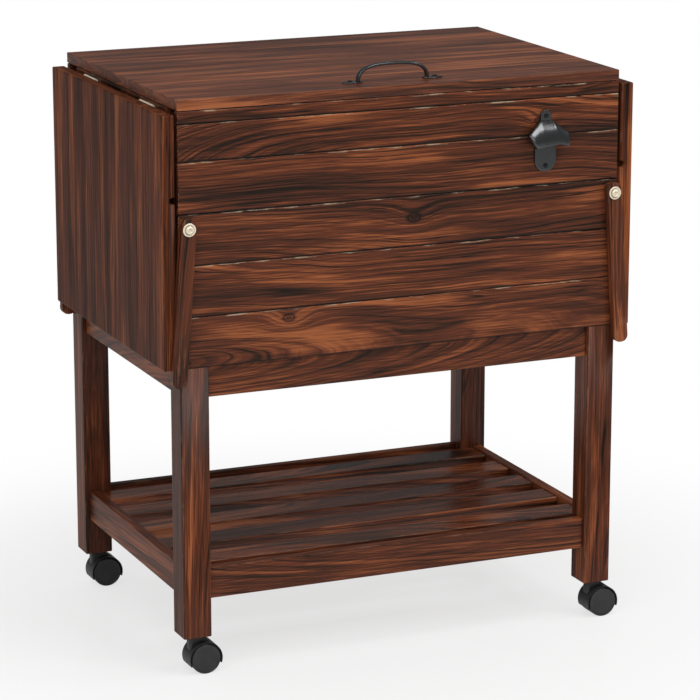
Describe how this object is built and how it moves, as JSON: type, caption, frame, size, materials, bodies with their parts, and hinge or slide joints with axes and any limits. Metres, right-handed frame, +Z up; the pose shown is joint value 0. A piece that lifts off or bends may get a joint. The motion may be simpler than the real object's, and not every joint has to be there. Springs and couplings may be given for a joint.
{
  "type": "wooden cooler cart",
  "caption": "Wooden patio cooler cart with a hinged lid over an insulated tub, drop leaves on swing-up arms, a slatted shelf, a bottle opener and swivel casters.",
  "frame": {"origin": "on the floor, under the middle of the whole cart's bounding box", "axes": "+X to the cart's right as seen from its front, +Y towards the rear, +Z up"},
  "size_m": [0.691, 0.5008, 0.816],
  "materials": {
    "boards": "reddish-brown stained boards, satin varnish, worn edges",
    "lid_boards": "reddish-brown stained boards, satin varnish",
    "legs": "dark brown stained wood, satin varnish",
    "rails": "dark brown stained wood, satin varnish",
    "slats": "reddish-brown stained slats, satin varnish",
    "leaves": "reddish-brown stained panel, satin varnish",
    "arms": "dark brown stained wood, satin varnish",
    "floor_panel": "plain plywood",
    "foam": "rigid white foam",
    "liner": "smooth off-white moulding",
    "drain": "white plastic tube",
    "drain_cap": "black plastic",
    "cast_iron": "dark grey coated casting, satin",
    "black_screws": "blackened steel",
    "hinge_steel": "plated steel",
    "bright_steel": "bright plated steel",
    "caster_hoods": "black moulded plastic, satin",
    "caster_wheels": "black nylon"
  },
  "bodies": {
    "cart": {"leg_front_left": "legs", "leg_front_right": "legs", "leg_rear_left": "legs", "leg_rear_right": "legs", "front_board_1": "boards", "front_board_2": "boards", "front_board_3": "boards", "front_board_4": "boards", "front_board_5": "boards", "front_board_6": "boards", "rear_boards": "boards", "left_boards": "boards", "right_boards": "boards", "apron_front": "rails", "apron_rear": "rails", "apron_left": "rails", "apron_right": "rails", "shelf_rail_front": "rails", "shelf_rail_rear": "rails", "shelf_rail_left": "rails", "shelf_rail_right": "rails", "shelf_cleats": "rails", "shelf_slats": "slats", "floor_panel": "floor_panel", "tub_insulation": "foam", "tub_liner": "liner", "liner_walls": "liner", "liner_corners": "liner", "drain_tube": "drain", "bottle_opener": "cast_iron", "opener_screws": "black_screws", "hinge_box_plates": "hinge_steel", "hinge_pins": "hinge_steel", "arm_pivot_screws": "bright_steel", "caster_stems": "bright_steel"},
    "lid": {"lid_board_1": "lid_boards", "lid_board_2": "lid_boards", "lid_board_3": "lid_boards", "lid_board_4": "lid_boards", "lid_board_5": "lid_boards", "lid_battens": "rails", "lid_inner_panel": "liner", "lid_handle": "cast_iron", "lid_handle_screws": "black_screws", "lid_hinge_plates": "hinge_steel"},
    "leaf_left": {"leaf_left": "leaves", "leaf_left_hinge_plates": "hinge_steel"},
    "leaf_right": {"leaf_right": "leaves", "leaf_right_hinge_plates": "hinge_steel"},
    "arm_front_left": {"arm_front_left": "arms"},
    "caster_front_left": {"caster_hood_front_left": "caster_hoods"},
    "wheels_front_left": {"caster_wheels_front_left": "caster_wheels"},
    "arm_front_right": {"arm_front_right": "arms"},
    "caster_front_right": {"caster_hood_front_right": "caster_hoods"},
    "wheels_front_right": {"caster_wheels_front_right": "caster_wheels"},
    "arm_rear_left": {"arm_rear_left": "arms"},
    "caster_rear_left": {"caster_hood_rear_left": "caster_hoods"},
    "wheels_rear_left": {"caster_wheels_rear_left": "caster_wheels"},
    "arm_rear_right": {"arm_rear_right": "arms"},
    "caster_rear_right": {"caster_hood_rear_right": "caster_hoods"},
    "wheels_rear_right": {"caster_wheels_rear_right": "caster_wheels"},
    "drain_cap": {"drain_cap": "drain_cap"}
  },
  "joints": [
    {"name": "lid_hinge", "type": "hinge", "parent": "cart", "child": "lid", "pos_m": [0, 0.2348, 0.776], "axis": [-1, 0, 0], "range_deg": [0, 95]},
    {"name": "leaf_left_hinge", "type": "hinge", "parent": "cart", "child": "leaf_left", "pos_m": [-0.32525, 0.0066, 0.76975], "axis": [0, 1, 0], "range_deg": [0, 90]},
    {"name": "leaf_right_hinge", "type": "hinge", "parent": "cart", "child": "leaf_right", "pos_m": [0.32525, 0.0066, 0.76975], "axis": [0, -1, 0], "range_deg": [0, 90]},
    {"name": "arm_front_left_pivot", "type": "hinge", "parent": "cart", "child": "arm_front_left", "pos_m": [-0.313, -0.2254, 0.621], "axis": [0, 1, 0], "range_deg": [0, 137.2]},
    {"name": "arm_front_right_pivot", "type": "hinge", "parent": "cart", "child": "arm_front_right", "pos_m": [0.313, -0.2254, 0.621], "axis": [0, -1, 0], "range_deg": [0, 137.2]},
    {"name": "arm_rear_left_pivot", "type": "hinge", "parent": "cart", "child": "arm_rear_left", "pos_m": [-0.313, 0.2386, 0.621], "axis": [0, 1, 0], "range_deg": [0, 137.2]},
    {"name": "arm_rear_right_pivot", "type": "hinge", "parent": "cart", "child": "arm_rear_right", "pos_m": [0.313, 0.2386, 0.621], "axis": [0, -1, 0], "range_deg": [0, 137.2]},
    {"name": "caster_front_left_swivel", "type": "hinge", "parent": "cart", "child": "caster_front_left", "pos_m": [-0.303, -0.1984, 0.047], "axis": [0, 0, 1], "continuous": true},
    {"name": "caster_front_left_roll", "type": "hinge", "parent": "caster_front_left", "child": "wheels_front_left", "pos_m": [-0.2896, -0.1984, 0.021], "axis": [0, 1, 0], "continuous": true},
    {"name": "caster_front_right_swivel", "type": "hinge", "parent": "cart", "child": "caster_front_right", "pos_m": [0.303, -0.1984, 0.047], "axis": [0, 0, 1], "continuous": true},
    {"name": "caster_front_right_roll", "type": "hinge", "parent": "caster_front_right", "child": "wheels_front_right", "pos_m": [0.3164, -0.1984, 0.021], "axis": [0, 1, 0], "continuous": true},
    {"name": "caster_rear_left_swivel", "type": "hinge", "parent": "cart", "child": "caster_rear_left", "pos_m": [-0.303, 0.2116, 0.047], "axis": [0, 0, 1], "continuous": true},
    {"name": "caster_rear_left_roll", "type": "hinge", "parent": "caster_rear_left", "child": "wheels_rear_left", "pos_m": [-0.2896, 0.2116, 0.021], "axis": [0, 1, 0], "continuous": true},
    {"name": "caster_rear_right_swivel", "type": "hinge", "parent": "cart", "child": "caster_rear_right", "pos_m": [0.303, 0.2116, 0.047], "axis": [0, 0, 1], "continuous": true},
    {"name": "caster_rear_right_roll", "type": "hinge", "parent": "caster_rear_right", "child": "wheels_rear_right", "pos_m": [0.3164, 0.2116, 0.021], "axis": [0, 1, 0], "continuous": true},
    {"name": "drain_cap_turn", "type": "hinge", "parent": "cart", "child": "drain_cap", "pos_m": [0.2, 0.0066, 0.41], "axis": [0, 0, 1], "continuous": true}
  ]
}
